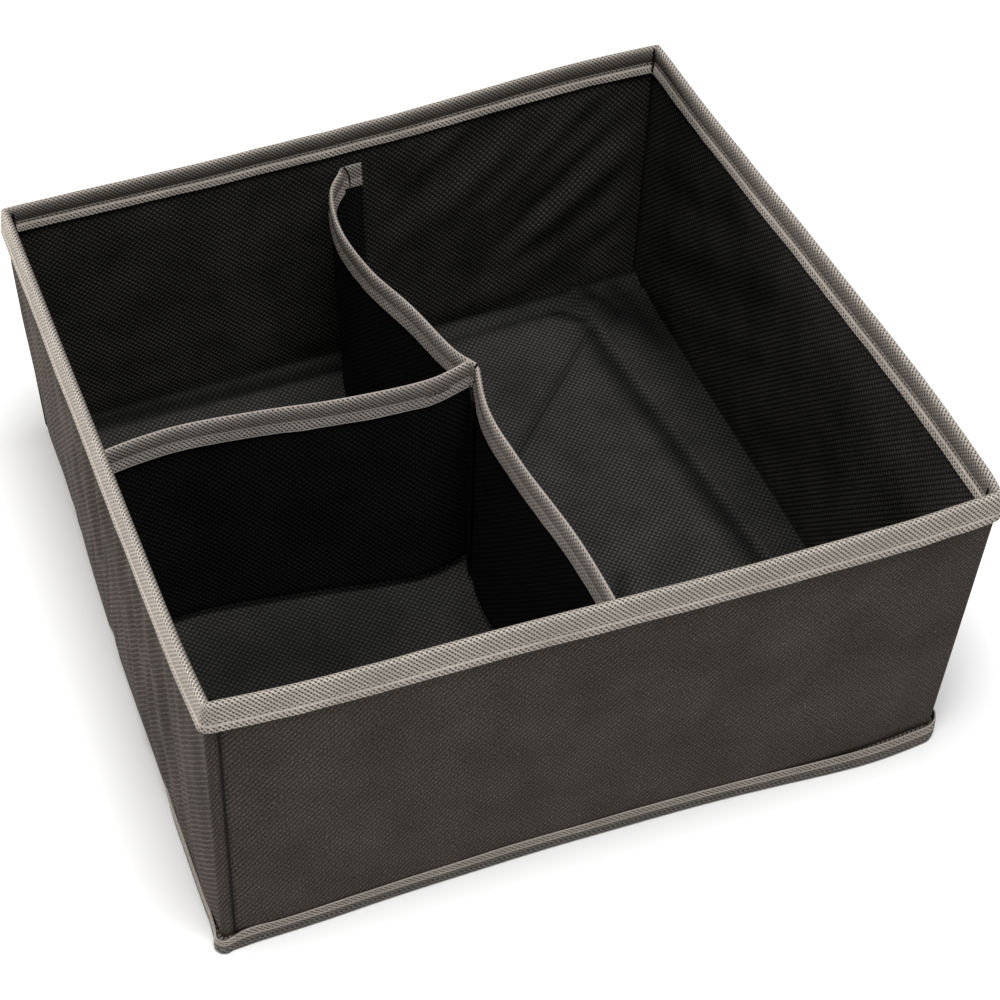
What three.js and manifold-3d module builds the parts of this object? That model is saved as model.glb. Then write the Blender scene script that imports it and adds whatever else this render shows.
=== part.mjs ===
// Fabric storage box with three compartments, collapsible.
// Millimetres, +Z up. X runs along the front wall, +Y points to the back wall.
// The origin is the centre of the footprint, on the surface the box stands on.
//
// Four card-stiffened fabric walls are sewn to each other at the corners, and two thin dividers
// hang between them by sewn tabs. The base panel is hinged along the back wall. Once the base is
// open, the walls and dividers fold over together as a parallelogram.

import * as THREE from 'three';
import { mergeVertices } from 'three/addons/utils/BufferGeometryUtils.js';
import Module from 'manifold-3d';

const wasm = await Module();
wasm.setup();

// ---------------------------------------------------------------- driving dimensions

const WIDTH = 300;                // over the rim tape, along X
const DEPTH = 300;                // over the rim tape, along Y
const HEIGHT = 130;               // floor to the top of the rim tape

const GAP = 0.3;                  // clearance between pieces that lie on each other
const FABRIC = 0.5;               // outer cover and lining
const WALL_BOARD = 1.2;           // card inside a wall
const TAPE = 0.5;                 // binding tape
const RIM_LEG = 11.5;             // how far the rim tape comes down each side of a wall
const BOTTOM_LEG = 9.5;           // height of the tape round the bottom edge
const CORNER_ZONE = 7;            // soft corner: the card stops this far from the corner
const CORNER_RADIUS = 3;          // rounding of the outer corners

const BOTTOM_SHEET = 0.6;         // fabric under the base
const BASE_BOARD = 1.2;           // card in the base
const BASE_INSET = 1;             // base sheet edge, in from the outside of the walls
const BOARD_MARGIN_X = 35;        // bare fabric between the base card and a side wall's outside
const BOARD_MARGIN_Y = 25;        // the same at the front and the back
const BOARD_RADIUS = 14;          // rounded corners of the base card

const DIVIDER_DROP = 19.5;        // divider top, below the rim
const DIVIDER_LIFT = 3;           // divider bottom, above the floor lining
const SLEEVE = 0.4;               // fabric on each side of a divider
const DIVIDER_BOARD = 0.8;        // card inside a divider
const DIVIDER_TAPE = 0.4;         // tape over a divider's top edge
const DIVIDER_LEG = 12;           // how far that tape comes down each side
const TAB_LENGTH = 8.5;           // sewn tab at a divider's end
const TAB_THICK = 1;              // folded fabric of a tab
const HINGE_LEAF = 6.5;           // loose part of the back tab, beside its stitching
const JUNCTION_GAP = 6;           // the junction tab starts this far in front of the junction

// ---------------------------------------------------------------- derived levels and offsets

const COVER_IN = TAPE + GAP;                                  // offsets inwards from the outside
const BOARD_IN = COVER_IN + FABRIC + GAP;
const LINING_IN = BOARD_IN + WALL_BOARD + GAP;
const LINING_FACE = LINING_IN + FABRIC;
const RIM_THICK = LINING_FACE + GAP + TAPE;

const BASE_BOARD_Z = BOTTOM_SHEET + GAP;
const FLOOR_LINING_Z = BASE_BOARD_Z + BASE_BOARD + GAP;
const FLOOR_Z = FLOOR_LINING_Z + FABRIC;
const WALL_Z = FLOOR_Z + GAP;                                 // underside of the bottom tape
const PANEL_Z0 = WALL_Z + TAPE + GAP;                         // cover, card and lining
const PANEL_Z1 = HEIGHT - TAPE - GAP;

const DIVIDER_Z0 = FLOOR_Z + DIVIDER_LIFT;
const DIVIDER_Z1 = HEIGHT - DIVIDER_DROP;
const BOARD_HALF = DIVIDER_BOARD / 2;
const SLEEVE_IN = BOARD_HALF + GAP;
const SLEEVE_HALF = SLEEVE_IN + SLEEVE;
const BINDING_IN = SLEEVE_HALF + GAP;
const BINDING_HALF = BINDING_IN + DIVIDER_TAPE;

// Corner pivots. A corner that closes as the box folds turns about its inner rim face, and a
// corner that opens turns about the middle of the wall's thickness.
const OPEN_PIVOT_IN = RIM_THICK / 2;
const PANEL_REACH = CORNER_ZONE - OPEN_PIVOT_IN;              // wall panels start here from that pivot
const OPEN_LEG = OPEN_PIVOT_IN + Math.sqrt(PANEL_REACH ** 2 - OPEN_PIVOT_IN ** 2) - GAP;
const CLOSE_LEG = CORNER_ZONE - GAP;

// ---------------------------------------------------------------- materials

const coverMaterial = new THREE.MeshStandardMaterial({ color: 0x4a4540, roughness: 0.95, metalness: 0 });
const liningMaterial = new THREE.MeshStandardMaterial({ color: 0x242422, roughness: 0.95, metalness: 0 });
const tapeMaterial = new THREE.MeshStandardMaterial({ color: 0x9a9189, roughness: 0.9, metalness: 0 });
const cardMaterial = new THREE.MeshStandardMaterial({ color: 0xa89274, roughness: 0.85, metalness: 0 });

// ---------------------------------------------------------------- helpers

function extrude(shape, z0, z1) {
  const geometry = new THREE.ExtrudeGeometry(shape, { depth: z1 - z0, bevelEnabled: false });
  geometry.translate(0, 0, z0);
  return geometry;
}

function toSolid(geometry) {
  const bare = geometry.clone();
  bare.deleteAttribute('normal');
  bare.deleteAttribute('uv');
  const merged = mergeVertices(bare, 1e-5);
  return new wasm.Manifold(new wasm.Mesh({
    numProp: 3,
    vertProperties: new Float32Array(merged.attributes.position.array),
    triVerts: new Uint32Array(merged.index.array),
  }));
}

function toGeometry(solid) {
  const mesh = solid.getMesh();
  const geometry = new THREE.BufferGeometry();
  geometry.setAttribute('position', new THREE.BufferAttribute(new Float32Array(mesh.vertProperties), 3));
  geometry.setIndex(new THREE.BufferAttribute(new Uint32Array(mesh.triVerts), 1));
  geometry.computeVertexNormals();
  return geometry;
}

const cut = (body, tool) => toGeometry(toSolid(body).subtract(toSolid(tool)));
const join = (first, second) => toGeometry(toSolid(first).add(toSolid(second)));

function piece(group, name, geometry, material) {
  const mesh = new THREE.Mesh(geometry, material.clone());
  mesh.name = name;
  group.add(mesh);
  return mesh;
}

// A block from (x0, y0, z0) to (x1, y1, z1).
function block([x0, y0, z0], [x1, y1, z1]) {
  const geometry = new THREE.BoxGeometry(x1 - x0, y1 - y0, z1 - z0);
  geometry.translate((x0 + x1) / 2, (y0 + y1) / 2, (z0 + z1) / 2);
  return geometry;
}

function roundedRectangle(width, depth, radius) {
  const x = width / 2;
  const y = depth / 2;
  const shape = new THREE.Shape();
  shape.moveTo(-x + radius, -y);
  shape.lineTo(x - radius, -y);
  shape.absarc(x - radius, -y + radius, radius, -Math.PI / 2, 0, false);
  shape.absarc(x - radius, y - radius, radius, 0, Math.PI / 2, false);
  shape.absarc(-x + radius, y - radius, radius, Math.PI / 2, Math.PI, false);
  shape.absarc(-x + radius, -y + radius, radius, Math.PI, 1.5 * Math.PI, false);
  return new THREE.Shape(shape.getPoints(4));
}

// A ribbon in plan that follows a path, from one offset to another. Offsets are to the left of
// the path, and the ends can be drawn out straight by `over`.
function ribbon(path, near, far, over = 0) {
  const last = path.length - 1;
  const side = path.map((point, i) => {
    const back = path[Math.max(i - 1, 0)];
    const ahead = path[Math.min(i + 1, last)];
    const along = new THREE.Vector2().subVectors(ahead, back).normalize();
    return { point, along, left: new THREE.Vector2(-along.y, along.x) };
  });
  const offset = (distance) => side.map(({ point, along, left }, i) => {
    const drawn = i === 0 ? -over : (i === last ? over : 0);
    return point.clone().addScaledVector(left, distance).addScaledVector(along, drawn);
  });
  return new THREE.Shape([...offset(near), ...offset(far).reverse()]);
}

// ---------------------------------------------------------------- base panel

function addBase(group) {
  const sheetWidth = WIDTH - 2 * BASE_INSET;
  const sheetDepth = DEPTH - 2 * BASE_INSET;
  const sheet = roundedRectangle(sheetWidth, sheetDepth, CORNER_RADIUS);
  piece(group, 'bottom_sheet', extrude(sheet, 0, BOTTOM_SHEET), coverMaterial);

  const boardWidth = WIDTH - 2 * BOARD_MARGIN_X;
  const boardDepth = DEPTH - 2 * BOARD_MARGIN_Y;
  const board = roundedRectangle(boardWidth, boardDepth, BOARD_RADIUS);
  piece(group, 'base_board', extrude(board, BASE_BOARD_Z, BASE_BOARD_Z + BASE_BOARD), cardMaterial);

  piece(group, 'floor_lining', extrude(sheet, FLOOR_LINING_Z, FLOOR_Z), liningMaterial);
}

// ---------------------------------------------------------------- walls

// A wall is drawn as the front wall is: its length along X, its outside at y = 0 facing -Y.
function wall(side, length) {
  const group = new THREE.Group();
  const half = length / 2;
  const panel = half - CORNER_ZONE;
  const layer = (near, thick) => block([-panel, near, PANEL_Z0], [panel, near + thick, PANEL_Z1]);

  piece(group, `${side}_cover`, layer(COVER_IN, FABRIC), coverMaterial);
  piece(group, `${side}_board`, layer(BOARD_IN, WALL_BOARD), cardMaterial);
  piece(group, `${side}_lining`, layer(LINING_IN, FABRIC), liningMaterial);

  const rimZ = HEIGHT - RIM_LEG;
  const rim = block([-panel, 0, rimZ], [panel, RIM_THICK, HEIGHT]);
  const slot = block([-half, TAPE, rimZ - 1], [half, RIM_THICK - TAPE, HEIGHT - TAPE]);
  piece(group, `${side}_rim_tape`, cut(rim, slot), tapeMaterial);

  const leg = block([-panel, 0, WALL_Z], [panel, TAPE, WALL_Z + BOTTOM_LEG]);
  const foot = block([-panel, 0, WALL_Z], [panel, RIM_THICK, WALL_Z + TAPE]);
  piece(group, `${side}_bottom_tape`, join(leg, foot), tapeMaterial);
  return group;
}

// ---------------------------------------------------------------- corners

// The plan of a soft corner: an L with a rounded outside, `inset` from the outside of the box.
function cornerPlan(sx, sy, inset, width, leg) {
  const contour = (from) => {
    const x = WIDTH / 2 - from;
    const y = DEPTH / 2 - from;
    const radius = CORNER_RADIUS - from;
    const bend = radius > 0
      ? new THREE.EllipseCurve(x - radius, y - radius, radius, radius, 0, Math.PI / 2).getPoints(4)
      : [new THREE.Vector2(x, y)];
    return [new THREE.Vector2(x, DEPTH / 2 - leg), ...bend, new THREE.Vector2(WIDTH / 2 - leg, y)];
  };
  const points = [...contour(inset), ...contour(inset + width).reverse()];
  return new THREE.Shape(points.map((point) => new THREE.Vector2(sx * point.x, sy * point.y)));
}

function addCorner(group, name, sx, sy, leg) {
  const strip = cornerPlan(sx, sy, COVER_IN, FABRIC, leg);
  piece(group, `${name}_corner_cover`, extrude(strip, PANEL_Z0, PANEL_Z1), coverMaterial);

  const tape = cornerPlan(sx, sy, 0, TAPE, leg);
  const full = cornerPlan(sx, sy, 0, RIM_THICK, leg);
  const rimLeg = extrude(tape, HEIGHT - RIM_LEG, HEIGHT);
  const rimTop = extrude(full, HEIGHT - TAPE, HEIGHT);
  piece(group, `${name}_corner_rim_tape`, join(rimLeg, rimTop), tapeMaterial);

  const bottomLeg = extrude(tape, WALL_Z, WALL_Z + BOTTOM_LEG);
  const bottomFoot = extrude(full, WALL_Z, WALL_Z + TAPE);
  piece(group, `${name}_corner_bottom_tape`, join(bottomLeg, bottomFoot), tapeMaterial);
}

// ---------------------------------------------------------------- dividers

// Plan points of the dividers' middle lines, x from the middle of the box and y as a distance
// from the lining of the wall that the line starts at or ends at.
const INNER_X = WIDTH / 2 - LINING_FACE;
const INNER_Y = DEPTH / 2 - LINING_FACE;
const JUNCTION_X = 6.7;
const JUNCTION_Y = 4.6;

const plan = (points) => points.map(([x, y]) => new THREE.Vector2(x, y));

function smooth(points, steps) {
  return new THREE.SplineCurve(plan(points)).getSpacedPoints(steps);
}

const backHalf = smooth([
  [-0.5, INNER_Y - 2.8],
  [-8.5, INNER_Y - 14.9],
  [-13.6, INNER_Y - 42.4],
  [-11.8, INNER_Y - 74.4],
  [-5.6, JUNCTION_Y + 35.4],
  [1.2, JUNCTION_Y + 12.9],
  [JUNCTION_X, JUNCTION_Y + 1.2],
], 26);

const frontHalf = smooth([
  [JUNCTION_X - 0.2, JUNCTION_Y - 1],
  [2.1, JUNCTION_Y - 19.1],
  [0.9, JUNCTION_Y - 34.6],
  [1.9, JUNCTION_Y - 52.6],
  [3.9, -INNER_Y + 62.4],
  [6, -INNER_Y + 26.4],
  [7.4, -INNER_Y + 2.2],
], 20);

const crossLine = smooth([
  [-INNER_X + 1.2, JUNCTION_Y + 4],
  [-INNER_X + 15.4, JUNCTION_Y + 6.7],
  [-INNER_X + 34.4, JUNCTION_Y + 7.8],
  [-INNER_X + 62.4, JUNCTION_Y + 4.6],
  [JUNCTION_X - 61.7, JUNCTION_Y - 0.4],
  [JUNCTION_X - 34.7, JUNCTION_Y - 5.2],
  [JUNCTION_X - 18.7, JUNCTION_Y - 5.8],
  [JUNCTION_X - 3.8, JUNCTION_Y - 1.6],
], 22);

function addDivider(group, name, line) {
  const boardZ = DIVIDER_Z0 + SLEEVE + GAP;
  const sleeveTop = DIVIDER_Z1 - DIVIDER_TAPE - GAP;
  const board = extrude(ribbon(line, -BOARD_HALF, BOARD_HALF), boardZ, sleeveTop);
  piece(group, `${name}_board`, board, cardMaterial);

  const sleeve = extrude(ribbon(line, -SLEEVE_HALF, SLEEVE_HALF), DIVIDER_Z0, sleeveTop);
  const pocket = extrude(ribbon(line, -SLEEVE_IN, SLEEVE_IN, 1), DIVIDER_Z0 + SLEEVE, DIVIDER_Z1);
  piece(group, `${name}_sleeve`, cut(sleeve, pocket), liningMaterial);

  const legZ = DIVIDER_Z1 - DIVIDER_LEG;
  const tape = extrude(ribbon(line, -BINDING_HALF, BINDING_HALF), legZ, DIVIDER_Z1);
  const slot = extrude(ribbon(line, -BINDING_IN, BINDING_IN, 1), legZ - 1, DIVIDER_Z1 - DIVIDER_TAPE);
  piece(group, `${name}_tape`, cut(tape, slot), tapeMaterial);
}

// The back tab is loose up to its stitching, so it swings with the centre divider. The others
// are sewn flat: two on walls, and the cross divider's end on the side of the centre divider.
function addTabs(group) {
  const leafX = backHalf[0].x - SLEEVE_HALF;
  const leafY = INNER_Y - GAP;
  const leaf = block([leafX, leafY - TAB_THICK, DIVIDER_Z0], [leafX + HINGE_LEAF, leafY, DIVIDER_Z1]);
  piece(group, 'centre_back_tab', leaf, liningMaterial);

  const frontX = frontHalf.at(-1).x + BINDING_HALF + GAP;
  const frontY = -INNER_Y + GAP;
  const frontTab = block(
    [frontX, frontY, DIVIDER_Z0],
    [frontX + TAB_LENGTH, frontY + TAB_THICK, DIVIDER_Z1],
  );
  piece(group, 'centre_front_tab', frontTab, liningMaterial);

  const leftX = -INNER_X + GAP;
  const leftY = crossLine[0].y + BINDING_HALF + GAP;
  const leftTab = block(
    [leftX, leftY, DIVIDER_Z0],
    [leftX + TAB_THICK, leftY + TAB_LENGTH, DIVIDER_Z1],
  );
  piece(group, 'cross_left_tab', leftTab, liningMaterial);

  const junctionEnd = JUNCTION_Y - JUNCTION_GAP;
  const beside = frontHalf.filter(({ y }) => y < junctionEnd && y > junctionEnd - 2 * TAB_LENGTH);
  const near = BINDING_HALF + GAP;
  const junctionTab = ribbon(beside, -near - TAB_THICK, -near);
  piece(group, 'cross_junction_tab', extrude(junctionTab, DIVIDER_Z0, DIVIDER_Z1), liningMaterial);
}

// ---------------------------------------------------------------- assembly

const box = new THREE.Group();
addBase(box);

const walls = [
  ['front', WIDTH, 0, -DEPTH / 2, 0],
  ['right', DEPTH, WIDTH / 2, 0, Math.PI / 2],
  ['back', WIDTH, 0, DEPTH / 2, Math.PI],
  ['left', DEPTH, -WIDTH / 2, 0, -Math.PI / 2],
];
for (const [side, length, x, y, turn] of walls) {
  const group = wall(side, length);
  group.position.set(x, y, 0);
  group.rotation.z = turn;
  box.add(group);
}

addCorner(box, 'front_left', -1, -1, OPEN_LEG);
addCorner(box, 'front_right', 1, -1, CLOSE_LEG);
addCorner(box, 'back_left', -1, 1, CLOSE_LEG);
addCorner(box, 'back_right', 1, 1, OPEN_LEG);

addDivider(box, 'centre_back', backHalf);
addDivider(box, 'centre_front', frontHalf);
addDivider(box, 'cross', crossLine);
addTabs(box);

export default box;
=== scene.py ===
import math

import bpy
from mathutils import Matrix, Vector, noise


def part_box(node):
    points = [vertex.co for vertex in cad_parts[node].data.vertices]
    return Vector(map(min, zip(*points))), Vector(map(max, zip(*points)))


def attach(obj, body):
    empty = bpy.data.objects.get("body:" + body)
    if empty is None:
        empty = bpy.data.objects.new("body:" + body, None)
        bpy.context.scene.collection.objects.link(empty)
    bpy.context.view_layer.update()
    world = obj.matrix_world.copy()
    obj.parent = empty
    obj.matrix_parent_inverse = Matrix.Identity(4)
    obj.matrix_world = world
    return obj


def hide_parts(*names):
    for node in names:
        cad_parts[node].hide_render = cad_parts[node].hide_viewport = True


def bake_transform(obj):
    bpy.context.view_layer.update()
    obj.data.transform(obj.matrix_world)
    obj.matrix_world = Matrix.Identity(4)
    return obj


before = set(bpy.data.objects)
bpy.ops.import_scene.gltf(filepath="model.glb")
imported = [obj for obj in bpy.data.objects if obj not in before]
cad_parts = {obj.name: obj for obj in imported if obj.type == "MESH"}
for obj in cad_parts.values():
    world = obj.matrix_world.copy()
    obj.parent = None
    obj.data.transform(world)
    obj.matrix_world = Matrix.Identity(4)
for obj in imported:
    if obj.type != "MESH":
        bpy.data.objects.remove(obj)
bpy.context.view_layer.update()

MM = 0.001


def cad_size(node, side, axis):
    """One side of a CAD node's box, in millimetres. side is 0 for the low side and 1 for the high."""
    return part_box(node)[side][axis] / MM


# ---------------------------------------------------------------- sizes taken from the CAD frame
SIDE = cad_size("back_rim_tape", 1, 1) * 2  # length of a wall over the rim tape
RIM_TOP = cad_size("front_rim_tape", 1, 2)
RIM_EDGE = cad_size("front_rim_tape", 0, 2)  # lower edge of the rim tape
LIP_LOW = cad_size("front_bottom_tape", 0, 2)  # underside of the walls
FLOOR_TOP = cad_size("floor_lining", 1, 2)
BASE_EDGE = cad_size("bottom_sheet", 1, 0)  # half width of the base panel
BASE_CARD_X = cad_size("base_board", 1, 0)
BASE_CARD_Y = cad_size("base_board", 1, 1)
DIVIDER_LOW = cad_size("cross_sleeve", 0, 2)
DIVIDER_TOP = cad_size("cross_tape", 1, 2)
DIVIDER_EDGE = cad_size("cross_tape", 0, 2)  # lower edge of a divider's tape
HALF = SIDE / 2
AROUND = 4 * SIDE
LINING_FACE = 3.6  # lining surface, in from the outside
# Length of wall that the bend of each corner takes: front left, front right, back right, back left.
CLOTH_BENDS = (2.6, 2.4, 2.2, 2.4)
LIP_BENDS = (2.4, 6.5, 4.0, 4.6)
LAP = 5.8  # how far the side fabric laps onto the next wall
COVER_FACE = 0.85  # cover's face, in from the outside
CARD_FACE = 1.92  # wall card's outer face, in from the outside
CLOTH = 0.45  # thickness of the non-woven fabric
TAPE = 0.42  # thickness of the binding tape
CARD = 0.65  # thickness of the card in the walls
STITCH = 2.9  # stitch length

# How far each corner has settled out of true: x, y, z at the rim and x, y at the floor.
SETTLED = {
    (-1, 1): ((1.5, -3, -2), (7, -1)),
    (1, 1): ((2, 1, 2.5), (-2.5, 1.5)),
    (1, -1): ((8, -4, 1), (-6.5, -4)),
    (-1, -1): ((0, 2, 0.5), (-2.5, -2.5)),
}
# How far each wall bows out between its corners: (distance along it, bow) at the floor and the rim.
STRAIGHT = [(0, 0), (SIDE, 0)]
BOWS = [
    {"floor": [(0, 0), (15, 1.5), (65, 0), (130, -1), (190, 0), (260, 2.5), (SIDE, 0)],
     "rim": [(0, 0), (40, 2.5), (95, 2), (190, 3), (265, 2), (SIDE, 0)]},
    {"floor": STRAIGHT, "rim": [(0, 0), (15, 2), (75, 4), (150, 3), (220, 1.5), (SIDE, 0)]},
    {"floor": STRAIGHT, "rim": [(0, 0), (30, 0.5), (190, -0.5), (SIDE, 0)]},
    {"floor": [(0, 0), (50, -0.5), (105, 1.5), (280, 1.5), (SIDE, 0)],
     "rim": [(0, 0), (150, 0.5), (260, 1), (SIDE, 0)]},
]


# ---------------------------------------------------------------- small helpers
def ease(t):
    t = min(max(t, 0.0), 1.0)
    return t * t * (3 - 2 * t)


def hump(value, centre, width):
    """A smooth hump of height 1 at centre that has died away at width on either side."""
    t = min(abs(value - centre) / width, 1.0)
    return (1 - t * t) ** 2


def drift(u, v, seed, lean=0.0, long=60.0, short=12.0):
    """Soft ridges: long along one direction and short across it, leaning by an angle in degrees."""
    c, s = math.cos(math.radians(lean)), math.sin(math.radians(lean))
    return noise.noise(Vector(((u * c + v * s) / short, (v * c - u * s) / long, seed)))


def settle(x, y, z):
    """Moves a point of the true box to where the settled box has it."""
    a = min(max((x + HALF) / SIDE, -0.05), 1.05)
    b = min(max((y + HALF) / SIDE, -0.05), 1.05)
    c = z / RIM_TOP
    moved = Vector((x, y, z))
    for (sx, sy), (rim, floor) in SETTLED.items():
        share = (a if sx > 0 else 1 - a) * (b if sy > 0 else 1 - b)
        moved.x += share * (rim[0] * c + floor[0] * (1 - c))
        moved.y += share * (rim[1] * c + floor[1] * (1 - c))
        moved.z += share * rim[2] * c
    moved.z += c * (2.1 * hump(x, 112, 90) - 0.8 * hump(x, -30, 80)) * ease((y - 95) / 50)
    return moved


def through(points, at):
    """The value at a place on a smooth curve through (place, value) points."""
    last = len(points) - 1
    at = min(max(at, points[0][0]), points[last][0])
    i = max(k for k in range(last) if points[k][0] <= at)
    (x0, v0), (x1, v1) = points[i], points[i + 1]
    before, after = points[max(i - 1, 0)], points[min(i + 2, last)]
    span = x1 - x0
    t = (at - x0) / span
    rise = (v1 - before[1]) / (x1 - before[0]) * span
    fall = (after[1] - v0) / (after[0] - x0) * span
    return (v0 * (2 * t ** 3 - 3 * t ** 2 + 1) + rise * (t ** 3 - 2 * t ** 2 + t)
            + v1 * (3 * t ** 2 - 2 * t ** 3) + fall * (t ** 3 - t ** 2))


def slack(wall, along, z):
    """How far a wall stands out from straight at a place along it."""
    up = min(max(z / RIM_TOP, 0), 1)
    bow = BOWS[wall]
    return through(bow["floor"], along) * (1 - up) + through(bow["rim"], along) * up


def inside(x, y, z):
    """Where the settled box has a point that stands or lies within its walls."""
    def near(gap):
        return ease(1 - gap / 60)

    dx = slack(1, y + HALF, z) * near(HALF - x) - slack(3, HALF - y, z) * near(x + HALF)
    dy = slack(2, HALF - x, z) * near(HALF - y) - slack(0, x + HALF, z) * near(y + HALF)
    return settle(x + dx, y + dy, z)


CORNERS = [(-1, -1), (1, -1), (1, 1), (-1, 1)]
ALONG = [(1, 0), (0, 1), (-1, 0), (0, -1)]
FACING = [(0, -1), (1, 0), (0, 1), (-1, 0)]


def around(s, inset, bends=CLOTH_BENDS):
    """Plan point at s along the outside of the box and inset from it. s starts at the front
    left corner and runs along the front, right, back and left walls in turn."""
    s %= AROUND
    k = int(s // SIDE)
    t = s - k * SIDE
    if t < bends[k]:
        k, t = (k - 1) % 4, t + SIDE
    e, n, start = ALONG[k], FACING[k], CORNERS[k]
    first, last = bends[k], bends[(k + 1) % 4]
    ox, oy = start[0] * HALF, start[1] * HALF
    hold = max(last, inset + 0.12)
    if t <= SIDE - last:
        took = max(first, inset + 0.12)
        if t < 12:
            t = took + (t - first) * (12 - took) / (12 - first)
        elif t > SIDE - 12:
            t = SIDE - hold - (SIDE - last - t) * (12 - hold) / (12 - last)
        return ox + e[0] * t - n[0] * inset, oy + e[1] * t - n[1] * inset
    turn = (t - SIDE + last) / (2 * last) * math.pi / 2
    radius = hold - inset
    cx = ox + e[0] * (SIDE - hold) - n[0] * hold
    cy = oy + e[1] * (SIDE - hold) - n[1] * hold
    c, w = math.cos(turn), math.sin(turn)
    return cx + radius * (n[0] * c + e[0] * w), cy + radius * (n[1] * c + e[1] * w)


def on_wall(s, inset, z, bends=CLOTH_BENDS):
    wall = int(s % AROUND // SIDE)
    x, y = around(s, inset - slack(wall, s % SIDE, z), bends)
    return settle(x, y, z)


def steps(start, end, pitch, fine=()):
    """Stations from start to end about pitch apart. fine lists (from, to, pitch) stretches."""
    marks = [start]
    while marks[-1] < end - 1e-6:
        here = marks[-1]
        pace = pitch
        for lo, hi, small in fine:
            if lo - 1e-6 <= here < hi - 1e-6:
                pace = small
            elif here < lo:
                pace = min(pace, max(lo - here, 1e-3))
        marks.append(min(here + pace, end))
    if len(marks) > 2 and marks[-1] - marks[-2] < 0.105 * pitch:
        marks.pop(-2)
    return marks


def curve_through(points, count):
    """Points spread along a smooth line through the given ones, with their running length."""
    dense = []
    last = len(points) - 1
    for i in range(last):
        p0, p1 = points[max(i - 1, 0)], points[i]
        p2, p3 = points[i + 1], points[min(i + 2, last)]
        for j in range(8):
            t = j / 8
            dense.append(tuple(
                0.5 * (2 * b + (c - a) * t + (2 * a - 5 * b + 4 * c - d) * t * t
                       + (3 * b - a - 3 * c + d) * t ** 3)
                for a, b, c, d in zip(p0, p1, p2, p3)
            ))
    dense.append(tuple(points[-1]))
    run = [0.0]
    for a, b in zip(dense, dense[1:]):
        run.append(run[-1] + math.dist(a, b))
    spread, at = [], 0
    for i in range(count + 1):
        want = run[-1] * i / count
        while at < len(run) - 2 and run[at + 1] < want:
            at += 1
        gap = max(run[at + 1] - run[at], 1e-9)
        t = (want - run[at]) / gap
        spread.append((want, tuple(a + (b - a) * t for a, b in zip(dense[at], dense[at + 1]))))
    return spread


# ---------------------------------------------------------------- making pieces
def clear_selection():
    if bpy.context.mode != "OBJECT":
        bpy.ops.object.mode_set(mode="OBJECT")
    bpy.ops.object.select_all(action="DESELECT")


def use(piece):
    clear_selection()
    piece.select_set(True)
    bpy.context.view_layer.objects.active = piece


def apply_modifier(piece, kind, **settings):
    use(piece)
    modifier = piece.modifiers.new(kind.lower(), kind)
    for name, value in settings.items():
        setattr(modifier, name, value)
    bpy.ops.object.modifier_apply(modifier=modifier.name)


def cloth(name, columns, rows, shape, thickness=CLOTH, v_from=0.0):
    """A sheet of fabric: a grid laid out flat, then each of its points worked into place by
    shape(column, row), which is in millimetres, and given its thickness behind its face. rows
    are (length down the sheet, what shape gets). The fabric's own lengths become its UV map."""
    clear_selection()
    bpy.ops.mesh.primitive_grid_add(
        x_subdivisions=len(columns) - 1, y_subdivisions=len(rows) - 1, size=1, location=(0, 0, 0)
    )
    piece = bpy.context.active_object
    piece.name = name
    mesh = piece.data
    mesh.name = name
    nx, ny = len(columns) - 1, len(rows) - 1
    flat = []
    for vertex in mesh.vertices:
        i = round((vertex.co.x + 0.5) * nx)
        j = round((vertex.co.y + 0.5) * ny)
        run, given = rows[j]
        flat.append((columns[i] * MM, (run + v_from) * MM))
        vertex.co = Vector(shape(columns[i], given)) * MM
    layer = mesh.uv_layers.active.data
    for loop in mesh.loops:
        layer[loop.index].uv = flat[loop.vertex_index]
    mesh.update()
    if thickness:
        apply_modifier(piece, "SOLIDIFY", thickness=thickness * MM, offset=-1.0,
                       use_even_offset=True)
    use(piece)
    bpy.ops.object.shade_smooth_by_angle(angle=math.radians(55))
    return piece


def dress(piece, material, rides, nodes=()):
    """Gives a finished piece its fabric, and its body when rides is a body's name. rides may
    instead be two bodies with the plan points where a bend between them starts and ends; such a
    piece is attached to no body and keeps its place."""
    piece.data.materials.clear()
    piece.data.materials.append(material)
    if isinstance(rides, str):
        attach(piece, rides)
    else:
        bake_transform(piece)
    if nodes:
        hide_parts(*nodes)
    return piece


def level(values):
    """Rows for a sheet that stands straight: each row's height is also its length."""
    return [(z, z) for z in values]


# ---------------------------------------------------------------- materials
def new_material(name, colour, roughness, gloss=0.06):
    material = bpy.data.materials.new(name)
    material.use_nodes = True
    shader = material.node_tree.nodes["Principled BSDF"]
    shader.inputs["Base Color"].default_value = (*colour, 1)
    shader.inputs["Roughness"].default_value = roughness
    shader.inputs["Specular IOR Level"].default_value = gloss
    return material, shader


def node(material, kind, settings=None, **inputs):
    made = material.node_tree.nodes.new(kind)
    for name, value in (settings or {}).items():
        setattr(made, name, value)
    for name, value in inputs.items():
        key = int(name[1:]) if name[0] == "i" and name[1:].isdigit() else name.replace("_", " ")
        socket = made.inputs[key]
        if isinstance(value, bpy.types.NodeSocket):
            material.node_tree.links.new(value, socket)
        else:
            socket.default_value = value
    return made


def math_node(material, operation, a, b=0.0, clamp=False):
    made = node(material, "ShaderNodeMath", {"operation": operation, "use_clamp": clamp},
                i0=a, i1=b)
    return made.outputs[0]


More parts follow.
